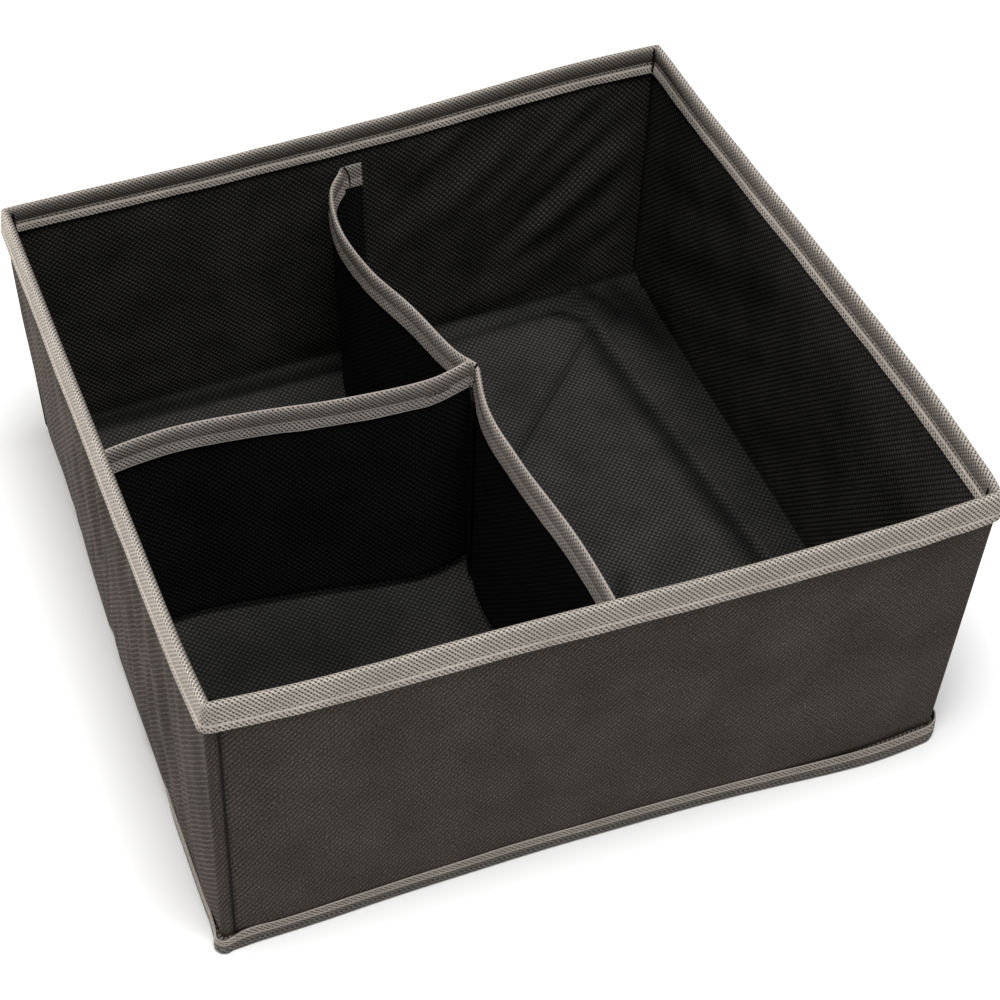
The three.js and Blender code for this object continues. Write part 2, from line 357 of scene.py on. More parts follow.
def dots(material, source, pitch, size, turn=45.0, stretch=(1.0, 1.0), soft=0.16):
    """A lattice of small embossed marks, 1 in a mark and 0 between them."""
    placed = node(material, "ShaderNodeMapping", {}, Vector=source,
                  Rotation=(0, 0, math.radians(turn)), Scale=(1000 / pitch, 1000 / pitch, 0))
    cell = node(material, "ShaderNodeVectorMath", {"operation": "FRACTION"}, i0=placed.outputs[0])
    middle = node(material, "ShaderNodeVectorMath", {"operation": "SUBTRACT"},
                  i0=cell.outputs[0], i1=(0.5, 0.5, 0.0))
    turned = node(material, "ShaderNodeMapping", {}, Vector=middle.outputs[0],
                  Rotation=(0, 0, math.radians(-turn)), Scale=(stretch[0], stretch[1], 0))
    reach = node(material, "ShaderNodeVectorMath", {"operation": "LENGTH"}, i0=turned.outputs[0])
    mark = node(material, "ShaderNodeMapRange", {"interpolation_type": "SMOOTHSTEP"},
                Value=reach.outputs["Value"], From_Min=size - soft / 2, From_Max=size + soft / 2,
                To_Min=1.0, To_Max=0.0)
    return mark.outputs[0]


def stripe(material, value, at, width):
    """1 on a line across the fabric at the given distance, falling to 0 at width from it."""
    off = math_node(material, "SUBTRACT", value, at * MM)
    gap = math_node(material, "ABSOLUTE", off)
    return node(material, "ShaderNodeMapRange", {"interpolation_type": "SMOOTHSTEP"}, Value=gap,
                From_Min=0.0, From_Max=width * MM, To_Min=1.0, To_Max=0.0).outputs[0]


def plain_lines(material, place, lines):
    """Where tape is smooth: along its edge and along its stitching, given by their distances
    from the tape's middle."""
    parts = node(material, "ShaderNodeSeparateXYZ", {}, Vector=place)
    off = math_node(material, "ABSOLUTE", parts.outputs[1])
    total = None
    for at, width in lines:
        one = stripe(material, off, at, width)
        total = one if total is None else math_node(material, "MAXIMUM", total, one)
    return total


def painted_line_shade(material, place, shade_lines):
    """Painted shade along lines of a sheet that lies flat, its pressed-in lines and the foot of
    walls: 1 off the lines, darker in them.
    """
    total = None
    for a, b, width, dark, soft in shade_lines:
        turn = -math.atan2(b[1] - a[1], b[0] - a[0])
        k = 1000 / width
        c, w = math.cos(turn), math.sin(turn)
        shift = (-(a[0] * c - a[1] * w) / width, -(a[0] * w + a[1] * c) / width, 0)
        placed = node(material, "ShaderNodeMapping", {}, Vector=place, Location=shift,
                      Rotation=(0, 0, turn), Scale=(k, k, 0))
        parts = node(material, "ShaderNodeSeparateXYZ", {}, Vector=placed.outputs[0])
        other = math_node(material, "MULTIPLY", parts.outputs[1], -soft)
        gap = math_node(material, "MAXIMUM", parts.outputs[1], other)
        deep = node(material, "ShaderNodeMapRange", {"interpolation_type": "SMOOTHSTEP"}, Value=gap,
                    From_Min=0.0, From_Max=1.0, To_Min=dark, To_Max=0.0).outputs[0]
        run = math.dist(a, b) / width
        begin = node(material, "ShaderNodeMapRange", {"interpolation_type": "SMOOTHSTEP"},
                     Value=parts.outputs[0], From_Min=-0.8, From_Max=0.8).outputs[0]
        stop = node(material, "ShaderNodeMapRange", {"interpolation_type": "SMOOTHSTEP"},
                    Value=parts.outputs[0], From_Min=run - 0.8, From_Max=run + 0.8, To_Min=1.0,
                    To_Max=0.0).outputs[0]
        deep = math_node(material, "MULTIPLY", deep, math_node(material, "MULTIPLY", begin, stop))
        left = math_node(material, "SUBTRACT", 1.0, deep)
        total = left if total is None else math_node(material, "MULTIPLY", total, left)
    return total


def fabric(name, ground, mark, marks, mark_depth, mottle=0.12, specks=0.0, grain=0.35,
           lines=(), shade_lines=(), inner=()):
    """Non-woven fabric: embossed marks, fine fibres and slow unevenness. lines are tape's smooth
    lines, which are also painted lighter as a painted highlight; the shade lines are painted shade
    along pressed lines and other shaded places; and inner is painted shade on tape's inner side:
    from, to, and how dark it is there and beyond."""
    material, shader = new_material(name, ground, 0.85)
    place = node(material, "ShaderNodeTexCoord").outputs["UV"]
    lattice = dots(material, place, **marks)
    if lines:
        plain = plain_lines(material, place, lines)
        lattice = math_node(material, "MULTIPLY", lattice,
                            math_node(material, "SUBTRACT", 1.0, plain))
    fibres = node(material, "ShaderNodeTexNoise", {}, Vector=place, Scale=1500.0, Detail=3.0,
                  Roughness=0.65).outputs["Fac"]
    cloud = node(material, "ShaderNodeTexNoise", {}, Vector=place, Scale=38.0, Detail=4.0,
                 Roughness=0.6).outputs["Fac"]
    tint = node(material, "ShaderNodeMix", {"data_type": "RGBA"}, i6=(*ground, 1), i7=(*mark, 1))
    keep = math_node(material, "MULTIPLY_ADD", cloud, 0.7)
    keep.node.inputs[2].default_value = 0.65
    weight = math_node(material, "MULTIPLY", lattice, keep, clamp=True)
    material.node_tree.links.new(weight, tint.inputs[0])
    shade = node(material, "ShaderNodeMapRange", {}, Value=cloud, From_Min=0.3, From_Max=0.7,
                 To_Min=1 - mottle, To_Max=1 + mottle).outputs[0]
    fuzz = node(material, "ShaderNodeMapRange", {}, Value=fibres, From_Min=0.3, From_Max=0.7,
                To_Min=1 - grain, To_Max=1 + grain).outputs[0]
    both = math_node(material, "MULTIPLY", shade, fuzz)
    # The smooth lines are painted lighter too: a painted highlight along the tape's folds, edges and
    # stitching.
    if lines:
        lighter = math_node(material, "MULTIPLY_ADD", plain, 0.22)
        lighter.node.inputs[2].default_value = 1.0
        both = math_node(material, "MULTIPLY", both, lighter)
    # Painted shade on the tape's inner side: darker from its first distance to its second, and less
    # dark beyond.
    if inner:
        parts = node(material, "ShaderNodeSeparateXYZ", {}, Vector=place)
        start = node(material, "ShaderNodeMapRange", {"interpolation_type": "SMOOTHSTEP"},
                     Value=parts.outputs[1], From_Min=(inner[0] - 1.8) * MM,
                     From_Max=(inner[0] + 1.8) * MM).outputs[0]
        stop = node(material, "ShaderNodeMapRange", {"interpolation_type": "SMOOTHSTEP"},
                    Value=parts.outputs[1], From_Min=(inner[1] - 0.5) * MM,
                    From_Max=(inner[1] + 0.5) * MM, To_Min=inner[2], To_Max=inner[3]).outputs[0]
        inner_painted_shade = math_node(material, "SUBTRACT", 1.0, math_node(material, "MULTIPLY", start, stop))
        both = math_node(material, "MULTIPLY", both, inner_painted_shade)
    # Painted shade along the given lines.
    if shade_lines:
        both = math_node(material, "MULTIPLY", both, painted_line_shade(material, place, shade_lines))
    colour = node(material, "ShaderNodeVectorMath", {"operation": "SCALE"},
                  i0=tint.outputs[2], Scale=both).outputs[0]
    if specks:
        sparkle = node(material, "ShaderNodeTexVoronoi", {}, Vector=place, Scale=420.0)
        near = node(material, "ShaderNodeMapRange", {}, Value=sparkle.outputs["Distance"],
                    From_Min=0.06, From_Max=0.12, To_Min=1.0, To_Max=0.0).outputs[0]
        rare = math_node(material, "GREATER_THAN", sparkle.outputs["Color"], 0.86)
        lint = math_node(material, "MULTIPLY", near, rare)
        lifted = node(material, "ShaderNodeMix", {"data_type": "RGBA"}, i6=colour,
                      i7=(specks, specks, specks * 0.95, 1))
        material.node_tree.links.new(lint, lifted.inputs[0])
        colour = lifted.outputs[2]
    material.node_tree.links.new(colour, shader.inputs["Base Color"])
    relief = math_node(material, "MULTIPLY_ADD", lattice, mark_depth)
    material.node_tree.links.new(fibres, relief.node.inputs[2])
    bump = node(material, "ShaderNodeBump", {}, Height=relief, Strength=0.6, Distance=0.00012)
    material.node_tree.links.new(bump.outputs[0], shader.inputs["Normal"])
    return material


def board_material():
    material, shader = new_material("grey_board", (0.3, 0.25, 0.18), 0.9)
    place = node(material, "ShaderNodeTexCoord").outputs["Object"]
    pulp = node(material, "ShaderNodeTexNoise", {}, Vector=place,
                Scale=600.0, Detail=4.0).outputs["Fac"]
    blend = node(material, "ShaderNodeMix", {"data_type": "RGBA"}, i6=(0.22, 0.17, 0.12, 1),
                 i7=(0.42, 0.35, 0.26, 1))
    material.node_tree.links.new(pulp, blend.inputs[0])
    material.node_tree.links.new(blend.outputs[2], shader.inputs["Base Color"])
    bump = node(material, "ShaderNodeBump", {}, Height=pulp, Strength=0.3, Distance=0.0002)
    material.node_tree.links.new(bump.outputs[0], shader.inputs["Normal"])
    return material


def thread_material(name, colour):
    material, shader = new_material(name, colour, 0.6)
    place = node(material, "ShaderNodeTexCoord").outputs["Object"]
    twist = node(material, "ShaderNodeTexNoise", {}, Vector=place,
                 Scale=2400.0, Detail=2.0).outputs["Fac"]
    blend = node(material, "ShaderNodeMix", {"data_type": "RGBA"},
                 i6=(*[c * 0.7 for c in colour], 1), i7=(*[c * 1.2 for c in colour], 1))
    material.node_tree.links.new(twist, blend.inputs[0])
    material.node_tree.links.new(blend.outputs[2], shader.inputs["Base Color"])
    return material


# Painted shade on the floor: along lines pressed or pulled into it, along the foot of the walls
# and over the front left compartment. From, to, width of the darker band, how dark it is.
CARD_EDGE = ((112, 121), (131, -112))
FOLD = ((106, 113), (38, 42))
FLOOR_SHADE_LINES = [
    (*CARD_EDGE, 4.2, 0.66, 0.35),
    (*FOLD, 2.2, 0.36, 0.4),
    ((-140, 141), (-4, 137.5), 7.5, 0.72, 1.0),
    ((8, 135), (104, 137), 4.0, 0.30, 0.5),
    ((98, 137), (113, 124), 3.6, 0.6, 0.6),
    ((119, 143), (131, 120), 7.0, 0.5, 0.7),
    ((134, 144), (141, 96), 6.0, 0.45, 0.6),
    ((-144, 150), (-120, 20), 15.0, 0.62, 0.8),
    ((50, -58), (66, -26), 6.0, 0.5, 0.8),
    ((148, 150), (148, -150), 40.0, 0.58, 1.0),
    ((-150, 147), (150, 147), 4.5, 0.75, 1.0),
    ((-150, 149), (150, 149), 26.0, 0.38, 1.0),
    ((-150, -22), (-20, -22), 60.0, 0.60, 1.0),
    ((-150, -92), (-16, -92), 66.0, 0.72, 1.0),
    ((104, 152), (152, 104), 26.0, 0.5, 1.0),
]

COVER = fabric("cover_fabric", (0.044, 0.0367, 0.0314), (0.090, 0.076, 0.065),
               dict(pitch=1.87, size=0.29, stretch=(1.5, 0.64), soft=0.34), 1.6,
               mottle=0.16, specks=0.34,
               grain=1.0)
LINING = fabric("lining_fabric", (0.0120, 0.0116, 0.0104), (0.056, 0.054, 0.049),
                dict(pitch=1.91, size=0.35, stretch=(1.0, 1.1), soft=0.3), 1.8,
                mottle=0.3, grain=0.75)
# A darker copy of the lining fabric for the right wall: painted shade, as that lining stands in
# shade.
RIGHT_LINING_SHADED = fabric("right_lining_shaded_fabric", (0.0092, 0.0089, 0.0080), (0.041, 0.0395, 0.036),
                     dict(pitch=1.91, size=0.35, stretch=(1.0, 1.1), soft=0.3), 1.8, mottle=0.3,
                     grain=0.85)
# The floor fabric carries painted shade along its lines, at the foot of the walls and in corners.
FLOOR_CLOTH = fabric("floor_fabric", (0.0136, 0.0132, 0.0126), (0.047, 0.0457, 0.0433),
                     dict(pitch=1.91, size=0.35, stretch=(1.0, 1.1), soft=0.3), 1.8,
                     mottle=0.22, grain=0.6,
                     shade_lines=FLOOR_SHADE_LINES)
# A much darker copy of the lining fabric for the dividers: painted shade, as their faces stand in the
# compartments' shade.
SHADED_DIVIDER_CLOTH = fabric("divider_shaded_fabric", (0.0048, 0.0048, 0.0046), (0.017, 0.017, 0.0165),
                       dict(pitch=1.91, size=0.34, stretch=(1.0, 1.1), soft=0.3), 1.6, mottle=0.2,
                       grain=0.7)
TAPE_LOOK = dict(marks=dict(pitch=1.4, size=0.33, stretch=(0.85, 1.35), soft=0.2), mark_depth=-2.6,
                 mottle=0.14, grain=0.4)
# Binding tape, with painted shade over its inner side.
BINDING = fabric("binding_tape", (0.425, 0.383, 0.338), (0.064, 0.055, 0.048),
                 lines=[(9.9, 0.6), (14.1, 0.9)], inner=(0.6, 9.4, 0.60, 0.24), **TAPE_LOOK)
DIVIDER_BINDING = fabric("divider_tape", (0.34, 0.305, 0.275), (0.048, 0.042, 0.037),
                      lines=[(0.0, 0.8), (8.4, 0.7), (12.6, 0.9)], **TAPE_LOOK)
BOARD = board_material()
TAPE_THREAD = thread_material("tape_thread", (0.36, 0.32, 0.28))
DARK_THREAD = thread_material("seam_thread", (0.012, 0.011, 0.010))

# ---------------------------------------------------------------- camera, light and floor
camera_data = bpy.data.cameras.new("camera")
camera = bpy.data.objects.new("camera", camera_data)
bpy.context.scene.collection.objects.link(camera)
camera_data.lens = 96.43
camera_data.sensor_width = 36.0
camera_data.clip_start = 0.05
camera_data.clip_end = 20.0
camera.rotation_euler = (0.7914, -0.00899, -0.37211)
camera.location = (-0.2782, -0.73964, 0.82253)
bpy.context.scene.camera = camera
bpy.context.scene.view_settings.view_transform = "Standard"


def lamp(name, place, size, power, colour=(1, 1, 1)):
    data = bpy.data.lights.new(name, "AREA")
    data.shape = "RECTANGLE"
    data.size, data.size_y = size
    data.energy = power
    data.color = colour
    light = bpy.data.objects.new(name, data)
    bpy.context.scene.collection.objects.link(light)
    light.location = place
    aim = Vector((0, 0, 0.05)) - Vector(place)
    light.rotation_euler = aim.to_track_quat("-Z", "Y").to_euler()
    return light


lamp("window", (-1.15, 1.05, 0.24), (0.8, 0.25), 21.0, (1.0, 0.985, 0.96))
lamp("overhead", (0.0, -0.3, 1.9), (1.0, 1.0), 45.0)
world = bpy.data.worlds.new("studio")
bpy.context.scene.world = world
world.use_nodes = True
world.node_tree.nodes["Background"].inputs["Color"].default_value = (1, 1, 1, 1)
world.node_tree.nodes["Background"].inputs["Strength"].default_value = 0.2

clear_selection()
bpy.ops.mesh.primitive_grid_add(x_subdivisions=4, y_subdivisions=4, size=14,
                                location=(0, 0, -0.0002))
ground = bpy.context.active_object
ground.name = "studio_floor"
floor_material, _ = new_material("studio_floor", (0.93, 0.93, 0.93), 0.9)
ground.data.materials.append(floor_material)

# ---------------------------------------------------------------- how each corner bends
REACH = 5.5


def corner_bend(a, b, sx, sy, toward):
    """The two plan points that fabric bends between at a corner, from body a to body b."""
    x, y = sx * (HALF - 1.5), sy * (HALF - 1.5)
    along_x = (x - sx * REACH, y, 0)
    along_y = (x, y - sy * REACH, 0)
    return (a, b, along_y, along_x) if toward == "x" else (a, b, along_x, along_y)


BENDS = {
    "left": corner_bend("left_wall", "front_wall", -1, -1, "x"),
    "back": corner_bend("back_wall", "left_wall", -1, 1, "y"),
    "right": corner_bend("right_wall", "back_wall", 1, 1, "x"),
    "front": "front_wall",
}
# Where each wall's fabric starts and ends, measured round the outside of the box. It wraps round
# one corner and ends on the next wall; the front's ends just past the front right corner.
WRAP = 3.6
RUNS = {
    "front": (LAP, SIDE + WRAP),
    "right": (SIDE + WRAP + 0.2, 2 * SIDE + LAP),
    "back": (2 * SIDE + LAP, 3 * SIDE + LAP),
    "left": (3 * SIDE + LAP, 4 * SIDE + LAP),
}
CORNER_OF = {"front": "front_right", "right": "back_right",
             "back": "back_left", "left": "front_left"}
WALL_START = {"front": 0, "right": SIDE, "back": 2 * SIDE, "left": 3 * SIDE}


def bends_near(start, end):
    """Fine stations round each corner that a run passes."""
    return [(k * SIDE - 5, k * SIDE + 5, 0.6) for k in range(5)
            if start < k * SIDE + 5 and end > k * SIDE - 5]


# ---------------------------------------------------------------- outer covers
def cover_swell(side, s, z):
    """How far the cover stands out from flat: loose on the left wall, nearly tight elsewhere."""
    t = s - WALL_START[side]
    ends = ease(t / 16) * ease((SIDE - t) / 16)
    held = ease((z - LIP_LOW) / 14) * ease((RIM_EDGE - z + 2) / 12)
    if side == "left":
        folds = 2.8 * drift(t, z, 3.1, lean=9, long=170, short=12)
        folds += 2.6 * drift(t, z, 8.4, lean=-5, long=120, short=6.5) * hump(t, 165, 135)
        folds -= 1.6 * abs(drift(t, z, 5.9, lean=3, long=150, short=9)) * hump(t, 175, 120)
        held *= 0.3 + 0.7 * ease((z - LIP_LOW) / 34)
        belly = 0.9 * hump(t, 150, 60) * hump(z, 26, 46)
        pinch = -1.4 * hump(t, 138, 10) * hump(z, 20, 40)
        return ends * (held * (folds + 1.0) + belly + pinch)
    calm = 0.35 * drift(t, z, WALL_START[side] / 97 + 0.5, lean=20, long=90, short=40)
    calm += 0.12 * drift(t, z, 5.5, lean=-30, long=40, short=16)
    return ends * held * calm


def make_cover(side):
    start, end = RUNS[side]
    start -= 1.6 if side != "right" else 0
    base = WALL_START[side]

    def shape(s, z):
        swell = cover_swell(side, s, z) if base < s < base + SIDE else 0.0
        tuck = 0.45 * ease((z - RIM_EDGE + 2) / 8)
        seam = 0.6 * hump(s % SIDE, LAP, 1.7) + 0.25 * hump(s % SIDE, LAP, 6)
        under = 0.6 * ease((start + 1.8 - s) / 1.2)
        return on_wall(s, min(COVER_FACE - swell + tuck + seam + under, 1.4), z)

    seams = [(k * SIDE + LAP - 1.8, k * SIDE + LAP + 1.8, 0.5) for k in range(5)]
    columns = steps(start, end, 2.6, sorted(bends_near(start, end) + seams))
    rows = level(steps(LIP_LOW + 0.6, RIM_TOP - 3.5, 2.6))
    piece = cloth(f"{side}_cover_fabric", columns, rows, shape)
    dress(piece, COVER, BENDS[side],
          [f"{side}_cover", f"{CORNER_OF[side]}_corner_cover"])


def make_card(side):
    """The stiff card between the cover and the lining."""
    base = WALL_START[side]
    columns = steps(base + LAP, base + SIDE - LAP, 8.0)
    rows = level(steps(LIP_LOW + 1.2, RIM_TOP - 3.0, 9.0))
    piece = cloth(f"{side}_wall_card", columns, rows, lambda s, z: on_wall(s, CARD_FACE, z), CARD)
    dress(piece, BOARD, f"{side}_wall", [f"{side}_board"])


# ---------------------------------------------------------------- linings
def lining_swell(side, s, z):
    t = s - WALL_START[side]
    ends = ease((t - 4) / 14) * ease((SIDE - 4 - t) / 14)
    held = ease((z - LIP_LOW) / 10) * ease((RIM_EDGE - z + 2) / 10)
    swell = 0.3 * drift(t, z, 2.2 + WALL_START[side] / 61, lean=15, long=90, short=34)
    if side in ("back", "right"):
        swell += 0.6
    if side == "back":
        swell += (3.4 * drift(t, z, 6.6, lean=48, long=110, short=11)
                  * hump(t, 60, 95) * hump(z, 78, 70))
        swell += (1.6 * drift(t, z, 1.6, lean=70, long=80, short=14)
                  * hump(t, 60, 90) * hump(z, 18, 40))
    if side == "right":
        swell += (1.1 * drift(t, z, 4.2, lean=62, long=120, short=16)
                  * hump(t, 215, 140) * hump(z, 60, 80))
    if side == "left":
        swell += 0.7 * drift(t, z, 7.7, lean=8, long=120, short=18)
    return max(ends * held * swell, -0.5)


def make_lining(side):
    base = WALL_START[side]

    def shape(s, z):
        return on_wall(s, LINING_FACE + lining_swell(side, s, z), z)

    start, end = base + LINING_FACE + 0.1, base + SIDE - LINING_FACE - 0.1
    columns = steps(start, end, 2.8)
    low = FLOOR_TOP - 0.4
    heights = steps(low, RIM_TOP - 3.5, 2.8)
    rows = [(heights[-1] - z, z) for z in reversed(heights)]
    piece = cloth(f"{side}_lining_fabric", columns, rows,
                  lambda s, z: square_lining(side, s, z, shape))
    # The right wall's lining gets the darker copy: painted shade.
    dress(piece, RIGHT_LINING_SHADED if side == "right" else LINING, f"{side}_wall",
          [f"{side}_lining"])


def square_lining(side, s, z, shape):
    """The lining runs straight into the corner, with no rounding."""
    base = WALL_START[side]
    t = s - base
    k = int(base // SIDE)
    e, n, start = ALONG[k], FACING[k], CORNERS[k]
    swell = lining_swell(side, s, max(z, LIP_LOW))
    inset = LINING_FACE + swell - slack(k, t, z)
    x = start[0] * HALF + e[0] * t - n[0] * inset
    y = start[1] * HALF + e[1] * t - n[1] * inset
    return settle(x, y, max(z, LIP_LOW + 0.4))


# ---------------------------------------------------------------- binding tape
STITCH_RISE = 4.1  # stitching, above the edge of the rim tape
# The rim tape from its outer edge over the top to its inner edge: inset from the outside, height.
RIM_SECTION = [
    (-0.85, RIM_EDGE - 0.1), (-0.72, RIM_EDGE + 1.2), (-0.48, RIM_EDGE + 2.9),
    (-0.20, RIM_EDGE + STITCH_RISE), (-0.16, RIM_EDGE + 4.9), (0.10, RIM_EDGE + 7.0),
    (0.50, RIM_EDGE + 9.4), (0.95, RIM_EDGE + 10.9), (2.05, RIM_TOP), (3.48, RIM_EDGE + 10.9),
    (4.06, RIM_EDGE + 9.4), (4.10, RIM_EDGE + 7.0), (3.66, RIM_EDGE + 4.9),
    (3.50, RIM_EDGE + STITCH_RISE), (4.16, RIM_EDGE + 2.9), (4.66, RIM_EDGE + 1.2),
    (4.86, RIM_EDGE - 0.1),
]
STITCH_FACES = (("outer", -0.26), ("inner", 3.58))  # the stitching's inset on each face of the tape


def rim_wave(s):
    return 0.45 * drift(s, 0, 12.7, long=50, short=48) + 0.18 * drift(s, 9, 2.9, long=50, short=15)


def make_rim_tape(side):
    start, end = RUNS[side]
    if side == "front":
        end = SIDE - 2.6
    if side == "right":
        start = SIDE - 2.5
    section = curve_through(RIM_SECTION, 30)
    columns = steps(start, end, 2.4, bends_near(start, end))

    def shape(s, given):
        inset, z = given
        low = ease((RIM_EDGE + STITCH_RISE - z) / STITCH_RISE)
        low *= 0.2 + 0.8 * ease(abs(s - SIDE) / 9)
        flare = low * (0.22 + 0.3 * noise.noise(Vector((s / 17, inset * 3, 4.4))))
        fray = low * 0.25 * noise.noise(Vector((s / 9, inset, 7.1)))
        out = -flare if inset < 2 else flare
        return on_wall(s, inset + out, z + rim_wave(s) + fray)

    piece = cloth(f"{side}_rim_binding", columns, section, shape, TAPE, -section[-1][0] / 2)
    rides = BENDS[side]
    dress(piece, BINDING, rides,
          [f"{side}_rim_tape", f"{CORNER_OF[side]}_corner_rim_tape"])
    for face, inset in STITCH_FACES:
        line = [on_wall(s, inset, RIM_EDGE + STITCH_RISE + rim_wave(s))
                for s in steps(start + 1.0, end - 1.0, 1.5)]
        stitches = thread_row(f"{side}_rim_{face}_stitches", line, TAPE_THREAD, 0.17)
        dress(stitches, TAPE_THREAD, rides)


def thread_row(name, line, material, radius, length=STITCH):
    """One stitch is modelled, and repeated along the line of the seam."""
    data = bpy.data.curves.new("seam_line", "CURVE")
    data.dimensions = "3D"
    spline = data.splines.new("POLY")
    spline.points.add(len(line) - 1)
    for point, place in zip(spline.points, line):
        point.co = (*(Vector(place) * MM), 1)
    seam = bpy.data.objects.new("seam_line", data)
    bpy.context.scene.collection.objects.link(seam)
    clear_selection()
    bpy.ops.mesh.primitive_cylinder_add(vertices=6, radius=radius * MM, depth=length * 0.84 * MM,
                                        rotation=(0, math.pi / 2, 0))
    bpy.ops.object.transform_apply(location=False, rotation=True, scale=False)
    stitch = bpy.context.active_object
    stitch.name = name
    bpy.ops.object.mode_set(mode="EDIT")
    bpy.ops.mesh.select_mode(type="FACE")
    bpy.ops.mesh.select_all(action="DESELECT")
    bpy.ops.object.mode_set(mode="OBJECT")
    for face in stitch.data.polygons:
        face.select = abs(face.normal.x) > 0.9
    bpy.ops.object.mode_set(mode="EDIT")
    bpy.ops.mesh.inset(thickness=radius * 0.45 * MM, depth=radius * 0.8 * MM, use_individual=True)
    bpy.ops.object.mode_set(mode="OBJECT")
    for vertex in stitch.data.vertices:
        vertex.co.x += length / 2 * MM
    apply_modifier(stitch, "ARRAY", fit_type="FIT_CURVE", curve=seam, use_relative_offset=False,
                   use_constant_offset=True, constant_offset_displace=(length * MM, 0, 0))
    apply_modifier(stitch, "CURVE", object=seam, deform_axis="POS_X")
    bpy.data.objects.remove(seam)
    use(stitch)
    bpy.ops.object.shade_smooth_by_angle(angle=math.radians(60))
    return stitch


# ---------------------------------------------------------------- bottom tape
LIP_TOP = LIP_LOW + 5.6


def lip_top(s):
    """The upper edge of the bottom tape, which dips round the front left corner."""
    from_corner = min(abs(s % AROUND), AROUND - s % AROUND)
    dip = 2.2 * hump(from_corner, 1.0, 8.5)
    rise = 0.6 * hump(s, 13, 9)
    return LIP_TOP - dip + rise + 0.35 * drift(s, 3, 5.2, long=50, short=26)


def lip_stand(s):
    """How far the bottom tape stands out from the wall."""
    front_right = 1.6 * ease((s - 215) / 70) * ease((SIDE + 40 - s) / 40) + 0.8 * hump(s, 275, 45)
    from_corner = min(s % AROUND, AROUND - s % AROUND)
    front_left = 1.6 * hump(from_corner, 0, 15) + 1.2 * hump(from_corner, 0, 5)
    tucked = 2.6 * ease((s - 889) / 10) * ease((1140 - s) / 40)
    return front_right + front_left - tucked + 0.25 * drift(s, 1, 9.2, long=50, short=30)


def lip_inset(s, z):
    """The tape leans out from its upper edge, and is rounded under."""
    low = ease((LIP_TOP - z) / 8)
    return 0.25 - lip_stand(s) * (0.65 + 0.35 * low)


def make_lip(side):
    start, end = RUNS[side]
    columns = steps(start, end, 2.4, bends_near(start, end))
    rows = [(0.0, (2.9, 0.75)), (1.8, (1.2, 0.15)), (2.5, (0.45, 0.0)), (3.0, (0.08, 0.05)),
            (3.7, (0.0, 0.12)), (5.6, (-0.05, 0.38)), (7.6, (0.0, 0.66)), (9.2, (0.12, 0.88)),
            (10.2, (0.28, 1.0))]

    def shape(s, given):
        inset, share = given
        rise = share * (lip_top(s) - LIP_LOW) if share > 0.1 else share
        z = LIP_LOW + 0.05 + rise
        p = on_wall(s, inset + lip_inset(s, z) - 0.35, z, LIP_BENDS)
        return p.x + 2.0 * hump(s, SIDE, 60), p.y, p.z

    piece = cloth(f"{side}_bottom_binding", columns, rows, shape, TAPE, 3.8)
    dress(piece, BINDING, BENDS[side],
          [f"{side}_bottom_tape", f"{CORNER_OF[side]}_corner_bottom_tape"])


def make_base_binding():
    """The tape round the edge of the base panel, which closes up under the walls' tape."""
    columns = steps(0, AROUND, 3.0, bends_near(0, AROUND))
    rows = [(0.0, (7.4, 0.25)), (3.0, (4.4, 0.2)), (5.8, (1.6, 0.12)), (6.6, (0.75, 0.22)),
            (7.1, (0.32, 0.62)), (7.8, (0.12, 1.3)), (8.6, (0.1, 2.1)), (9.4, (0.3, 2.75)),
            (9.9, (0.8, 3.02)), (10.8, (1.7, 2.95))]

    def shape(s, given):
        inset, z = given
        p = on_wall(s, inset + lip_inset(s, 0) - 0.3, z, LIP_BENDS)
        return p.x + 2.0 * hump(s, SIDE, 60), p.y, p.z

    piece = cloth("base_edge_binding", columns, rows, shape, 0.35)
    use(piece)
    bpy.ops.object.mode_set(mode="EDIT")
    bpy.ops.mesh.select_all(action="SELECT")
    bpy.ops.mesh.remove_doubles(threshold=0.00001)
    bpy.ops.object.mode_set(mode="OBJECT")
    dress(piece, BINDING, "base")


def make_corner_seams():
    """The side fabric is sewn down where it laps onto the next wall, and the linings are sewn
    together up each inner corner."""
    for k, side in ((0, "left"), (2, "right"), (3, "back")):
        line = [on_wall(k * SIDE + LAP, 0.95, z) for z in steps(LIP_LOW + 4, RIM_EDGE + 1, 2.0)]
        stitches = thread_row(f"{side}_corner_seam", line, DARK_THREAD, 0.42, 2.5)
        dress(stitches, DARK_THREAD, BENDS[side])
    for k, corner in enumerate(("front_left", "front_right", "back_right", "back_left")):
        sx, sy = CORNERS[k]
        line = []
        for z in steps(FLOOR_TOP + 2, RIM_TOP - 1.5, 2.0):
            gap = LINING_FACE + 0.4 + 1.0 * ease((z - RIM_EDGE + 3) / 3)
            line.append(settle(sx * (HALF - gap), sy * (HALF - gap), z))
        stitches = thread_row(f"{corner}_lining_seam", line, DARK_THREAD, 0.5, 2.5)
        dress(stitches, DARK_THREAD, "back_wall" if sy > 0 else "front_wall")


for side in ("front", "right", "back", "left"):
    make_cover(side)
    make_card(side)
    make_lining(side)
    make_rim_tape(side)
    make_lip(side)
make_base_binding()
make_corner_seams()


# ---------------------------------------------------------------- base
def across(x, y, a, b):
    """Distance of a point to the left of the line from a to b, and how far along it is (0 to 1)."""
    dx, dy = b[0] - a[0], b[1] - a[1]
    length = math.hypot(dx, dy)
    return ((dx * (y - a[1]) - dy * (x - a[0])) / length,
            (dx * (x - a[0]) + dy * (y - a[1])) / length ** 2)


